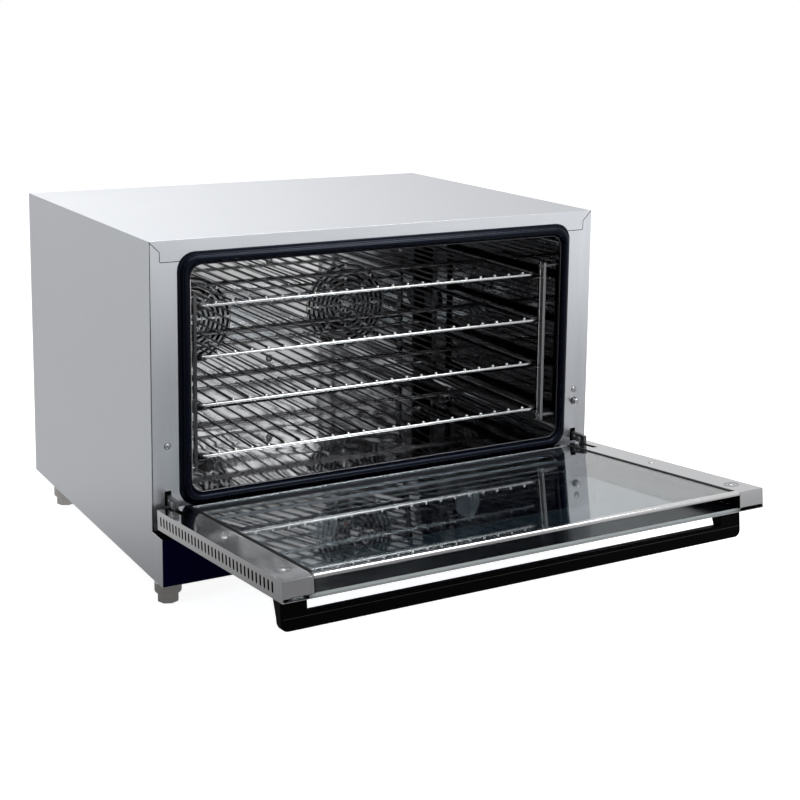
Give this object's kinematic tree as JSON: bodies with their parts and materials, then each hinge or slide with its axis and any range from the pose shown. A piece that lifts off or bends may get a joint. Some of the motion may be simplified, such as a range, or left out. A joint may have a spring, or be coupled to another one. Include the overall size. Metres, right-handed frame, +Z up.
{
  "type": "convection oven",
  "caption": "Countertop convection oven with a drop-down glazed door, wire shelves on side racks, fans behind a slotted baffle, control knobs and levelling feet.",
  "frame": {"origin": "Centre of the footprint box of the oven with its door open, on the bench plane under the feet.", "axes": "+Z up, +Y into the oven from the door towards the rear panel, +X to the right of someone who faces the door."},
  "size_m": [0.837, 1.141, 0.572],
  "materials": {
    "panel_steel": "fine satin brushing",
    "chamber_steel": "bright polished sheet",
    "zinc_steel": "dull zinc-plated sheet",
    "screw_steel": "bright",
    "hinge_steel": "plain, slightly oiled",
    "shelf_wire": "bright plated wire",
    "mineral_wool": "loose fibre slab",
    "gasket_rubber": "matt, blue-black",
    "seal_rubber": "matt black",
    "fan_alloy": "as pressed",
    "element_sheath": "heat-darkened",
    "motor_paint": "satin",
    "lamp_lens": "clear, slightly frosted",
    "lamp_ceramic": "glazed white",
    "fascia_paint": "smooth, very dark navy",
    "knob_plastic": "satin light grey",
    "control_plastic": "moulded",
    "signal_red": "translucent red",
    "terminal_plastic": "moulded",
    "inner_pane": "reflective tint",
    "outer_pane": "tinted",
    "trim_steel": "polished",
    "handle_plastic": "satin black",
    "foot_steel": "satin turned steel"
  },
  "bodies": {
    "cabinet": {"baffle_screws": "screw_steel", "base_pan": "zinc_steel", "cabinet_screws": "screw_steel", "cable_gland": "control_plastic", "chamber_front": "chamber_steel", "chamber_liner": "chamber_steel", "chamber_rear": "chamber_steel", "control_box": "panel_steel", "control_fascia": "fascia_paint", "door_gasket": "gasket_rubber", "door_switch": "control_plastic", "exhaust_pipe": "chamber_steel", "fan_baffle": "chamber_steel", "foot_cups": "foot_steel", "front_sill": "panel_steel", "hinge_arms": "hinge_steel", "hinge_brackets": "zinc_steel", "indicator_lamp": "signal_red", "insulation": "mineral_wool", "lamp_glass": "lamp_lens", "lamp_holder": "lamp_ceramic", "left_heating_element": "element_sheath", "left_motor": "motor_paint", "left_rack": "chamber_steel", "left_side_panel": "panel_steel", "motor_plate": "zinc_steel", "rack_screws": "screw_steel", "rear_panel": "zinc_steel", "right_heating_element": "element_sheath", "right_motor": "motor_paint", "right_rack": "chamber_steel", "right_side_panel": "panel_steel", "temperature_probe": "screw_steel", "terminal_block": "terminal_plastic", "thermostat_body": "control_plastic", "timer_body": "control_plastic", "top_cover": "panel_steel"},
    "door": {"door_frame": "panel_steel", "inner_glass": "inner_pane", "outer_glass": "outer_pane", "side_seals": "seal_rubber", "glass_trim": "trim_steel", "corner_blocks": "panel_steel", "door_screws": "screw_steel", "handle": "handle_plastic", "hinge_channels": "hinge_steel", "hinge_pins": "hinge_steel"},
    "shelf_1": {"shelf_1": "shelf_wire"},
    "shelf_2": {"shelf_2": "shelf_wire"},
    "shelf_3": {"shelf_3": "shelf_wire"},
    "shelf_4": {"shelf_4": "shelf_wire"},
    "timer_knob": {"timer_knob": "knob_plastic"},
    "thermostat_knob": {"thermostat_knob": "knob_plastic"},
    "left_fan": {"left_fan": "fan_alloy"},
    "right_fan": {"right_fan": "fan_alloy"},
    "door_switch_plunger": {"door_switch_plunger": "screw_steel"},
    "front_left_foot": {"front_left_foot": "foot_steel"},
    "front_right_foot": {"front_right_foot": "foot_steel"},
    "rear_left_foot": {"rear_left_foot": "foot_steel"},
    "rear_right_foot": {"rear_right_foot": "foot_steel"}
  },
  "joints": [
    {"name": "door_hinge", "type": "hinge", "parent": "cabinet", "child": "door", "pos_m": [0, -0.13054, 0.131], "axis": [-1, 0, 0], "range_deg": [0, 84.5]},
    {"name": "shelf_1_slide", "type": "slide", "parent": "cabinet", "child": "shelf_1", "axis": [0, 1, 0], "range_m": [-0.3, 0]},
    {"name": "shelf_2_slide", "type": "slide", "parent": "cabinet", "child": "shelf_2", "axis": [0, 1, 0], "range_m": [-0.3, 0]},
    {"name": "shelf_3_slide", "type": "slide", "parent": "cabinet", "child": "shelf_3", "axis": [0, 1, 0], "range_m": [-0.3, 0]},
    {"name": "shelf_4_slide", "type": "slide", "parent": "cabinet", "child": "shelf_4", "axis": [0, 1, 0], "range_m": [-0.3, 0]},
    {"name": "timer_turn", "type": "hinge", "parent": "cabinet", "child": "timer_knob", "pos_m": [-0.138, -0.14754, 0.079], "axis": [0, 1, 0], "range_deg": [0, 300]},
    {"name": "thermostat_turn", "type": "hinge", "parent": "cabinet", "child": "thermostat_knob", "pos_m": [0.138, -0.14754, 0.079], "axis": [0, 1, 0], "range_deg": [0, 270]},
    {"name": "left_fan_spin", "type": "hinge", "parent": "cabinet", "child": "left_fan", "pos_m": [-0.167, 0.39246, 0.3365], "axis": [0, 1, 0], "continuous": true},
    {"name": "right_fan_spin", "type": "hinge", "parent": "cabinet", "child": "right_fan", "pos_m": [0.167, 0.39246, 0.3365], "axis": [0, 1, 0], "continuous": true},
    {"name": "door_switch_press", "type": "slide", "parent": "cabinet", "child": "door_switch_plunger", "axis": [0, 1, 0], "range_m": [0, 0.008], "stiffness_N_per_m": 300, "springref_m": -0.002},
    {"name": "front_left_foot_level", "type": "slide", "parent": "cabinet", "child": "front_left_foot", "axis": [0, 0, -1], "range_m": [0, 0.015]},
    {"name": "front_right_foot_level", "type": "slide", "parent": "cabinet", "child": "front_right_foot", "axis": [0, 0, -1], "range_m": [0, 0.015]},
    {"name": "rear_left_foot_level", "type": "slide", "parent": "cabinet", "child": "rear_left_foot", "axis": [0, 0, -1], "range_m": [0, 0.015]},
    {"name": "rear_right_foot_level", "type": "slide", "parent": "cabinet", "child": "rear_right_foot", "axis": [0, 0, -1], "range_m": [0, 0.015]}
  ]
}
